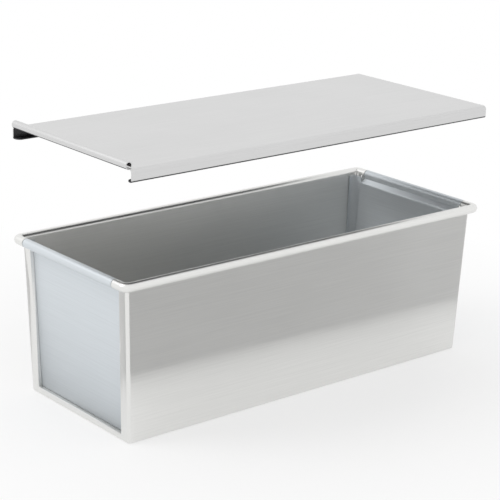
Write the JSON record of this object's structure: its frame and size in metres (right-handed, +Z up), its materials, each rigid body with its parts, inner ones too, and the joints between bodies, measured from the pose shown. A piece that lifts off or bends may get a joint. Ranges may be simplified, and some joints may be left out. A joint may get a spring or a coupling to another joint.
{
  "type": "pullman loaf pan",
  "caption": "Tapered loaf pan of folded sheet with sunk end panels and a rolled rim, and a flat lid with side channels and a curled grip, shown raised above the pan.",
  "frame": {"origin": "middle of the underside of the pan's bottom", "axes": "+X along the pan, away from the lid's grip; +Z up"},
  "size_m": [0.323, 0.137, 0.1935],
  "materials": {
    "body_sheet": "brushed satin",
    "end_sheet": "satin",
    "wire": "drawn wire",
    "lid_sheet": "brushed satin"
  },
  "bodies": {
    "pan": {"pan_body": "body_sheet", "end_plate_left": "end_sheet", "end_plate_right": "end_sheet", "rim_wire": "wire"},
    "lid": {"lid": "lid_sheet"}
  },
  "joints": [
    {"name": "lid_lift", "type": "slide", "parent": "pan", "child": "lid", "axis": [0, 0, 1], "range_m": [-0.0738, 0]}
  ]
}
